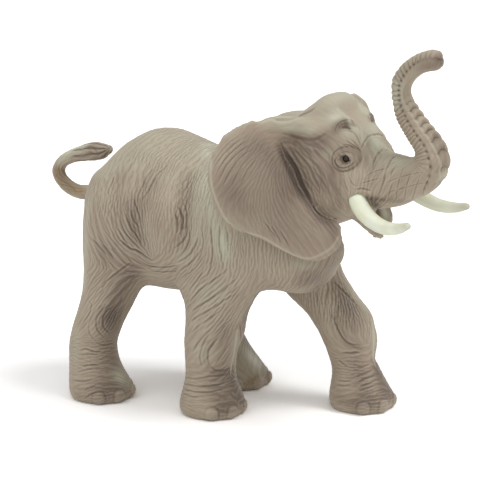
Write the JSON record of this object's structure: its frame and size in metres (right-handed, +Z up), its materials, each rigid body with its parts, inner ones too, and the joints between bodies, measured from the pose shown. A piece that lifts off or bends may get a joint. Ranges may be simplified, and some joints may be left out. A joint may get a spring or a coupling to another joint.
{
  "type": "toy elephant figure",
  "caption": "Rigid toy African elephant striding with raised trunk, flared ears and curled tail, cast in plastic and painted, standing on flat soles.",
  "frame": {"origin": "on the floor, at the middle of the bounding box's footprint", "axes": "+X runs from the tail towards the head, +Y to the elephant's left, +Z up"},
  "size_m": [0.1706, 0.0936, 0.1367],
  "materials": {
    "painted_skin": "matte taupe-grey paint over moulded PVC",
    "painted_ear": "matte darker taupe paint over moulded PVC",
    "painted_lip": "matte paler taupe paint over moulded PVC",
    "ivory_paint": "satin pale ivory paint over moulded PVC",
    "eye_gloss": "dark glossy"
  },
  "bodies": {
    "root": {"torso": "painted_skin", "head": "painted_skin", "trunk": "painted_skin", "tail": "painted_skin", "left_front_leg": "painted_skin", "right_front_leg": "painted_skin", "left_hind_leg": "painted_skin", "right_hind_leg": "painted_skin", "left_ear": "painted_ear", "right_ear": "painted_ear", "lower_jaw": "painted_lip", "left_tusk": "ivory_paint", "right_tusk": "ivory_paint", "left_eye": "eye_gloss", "right_eye": "eye_gloss"}
  },
  "joints": []
}
